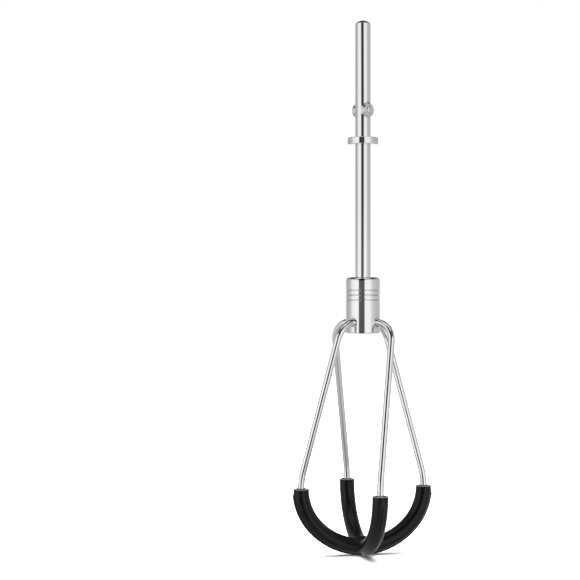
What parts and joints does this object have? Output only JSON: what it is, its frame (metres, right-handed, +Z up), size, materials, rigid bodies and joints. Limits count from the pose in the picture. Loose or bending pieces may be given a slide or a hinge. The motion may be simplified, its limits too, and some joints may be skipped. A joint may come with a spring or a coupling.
{
  "type": "hand mixer flex edge beater",
  "caption": "Wire cage beater for a hand mixer: a lugged drive shaft and hub carry crossing wire loops whose bottoms wear a soft wiping edge.",
  "frame": {"origin": "on the drive shaft's axis, where its round wall ends and the domed tip starts", "axes": "+Z up along the shaft towards the mixer; the arms of the soft edge lie along +X, -X, +Y and -Y"},
  "size_m": [0.051, 0.051, 0.1899],
  "materials": {
    "steel_turned": "turned stainless steel, polished",
    "steel_wire": "drawn stainless steel wire, bright",
    "silicone_black": "moulded black silicone, satin"
  },
  "bodies": {
    "root": {"drive_shaft": "steel_turned", "collar": "steel_turned", "hub": "steel_turned", "wire_loop_under": "steel_wire", "wire_loop_over": "steel_wire", "flex_edge": "silicone_black"}
  },
  "joints": []
}
